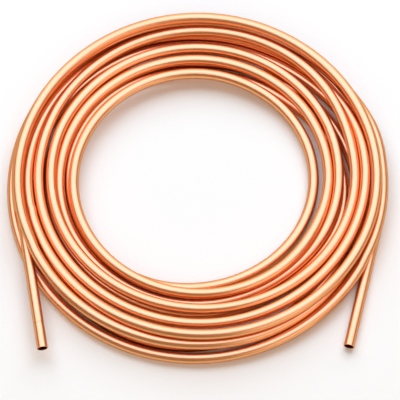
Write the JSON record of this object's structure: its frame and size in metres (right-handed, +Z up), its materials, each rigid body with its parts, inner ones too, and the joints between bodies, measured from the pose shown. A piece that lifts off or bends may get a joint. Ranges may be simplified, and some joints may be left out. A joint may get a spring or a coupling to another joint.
{
  "type": "copper tube coil",
  "caption": "Soft copper tube wound into a flat loose coil of stacked turns with an open eye and straight cut tails.",
  "frame": {"origin": "middle of the coil's footprint, on the floor it lies on", "axes": "+Z up out of the floor, -Y to the front where the tails point, +X to the right seen from the front"},
  "size_m": [0.36, 0.358, 0.0314],
  "materials": {
    "copper": "bright drawn copper"
  },
  "bodies": {
    "root": {"copper_tube": "copper"}
  },
  "joints": []
}
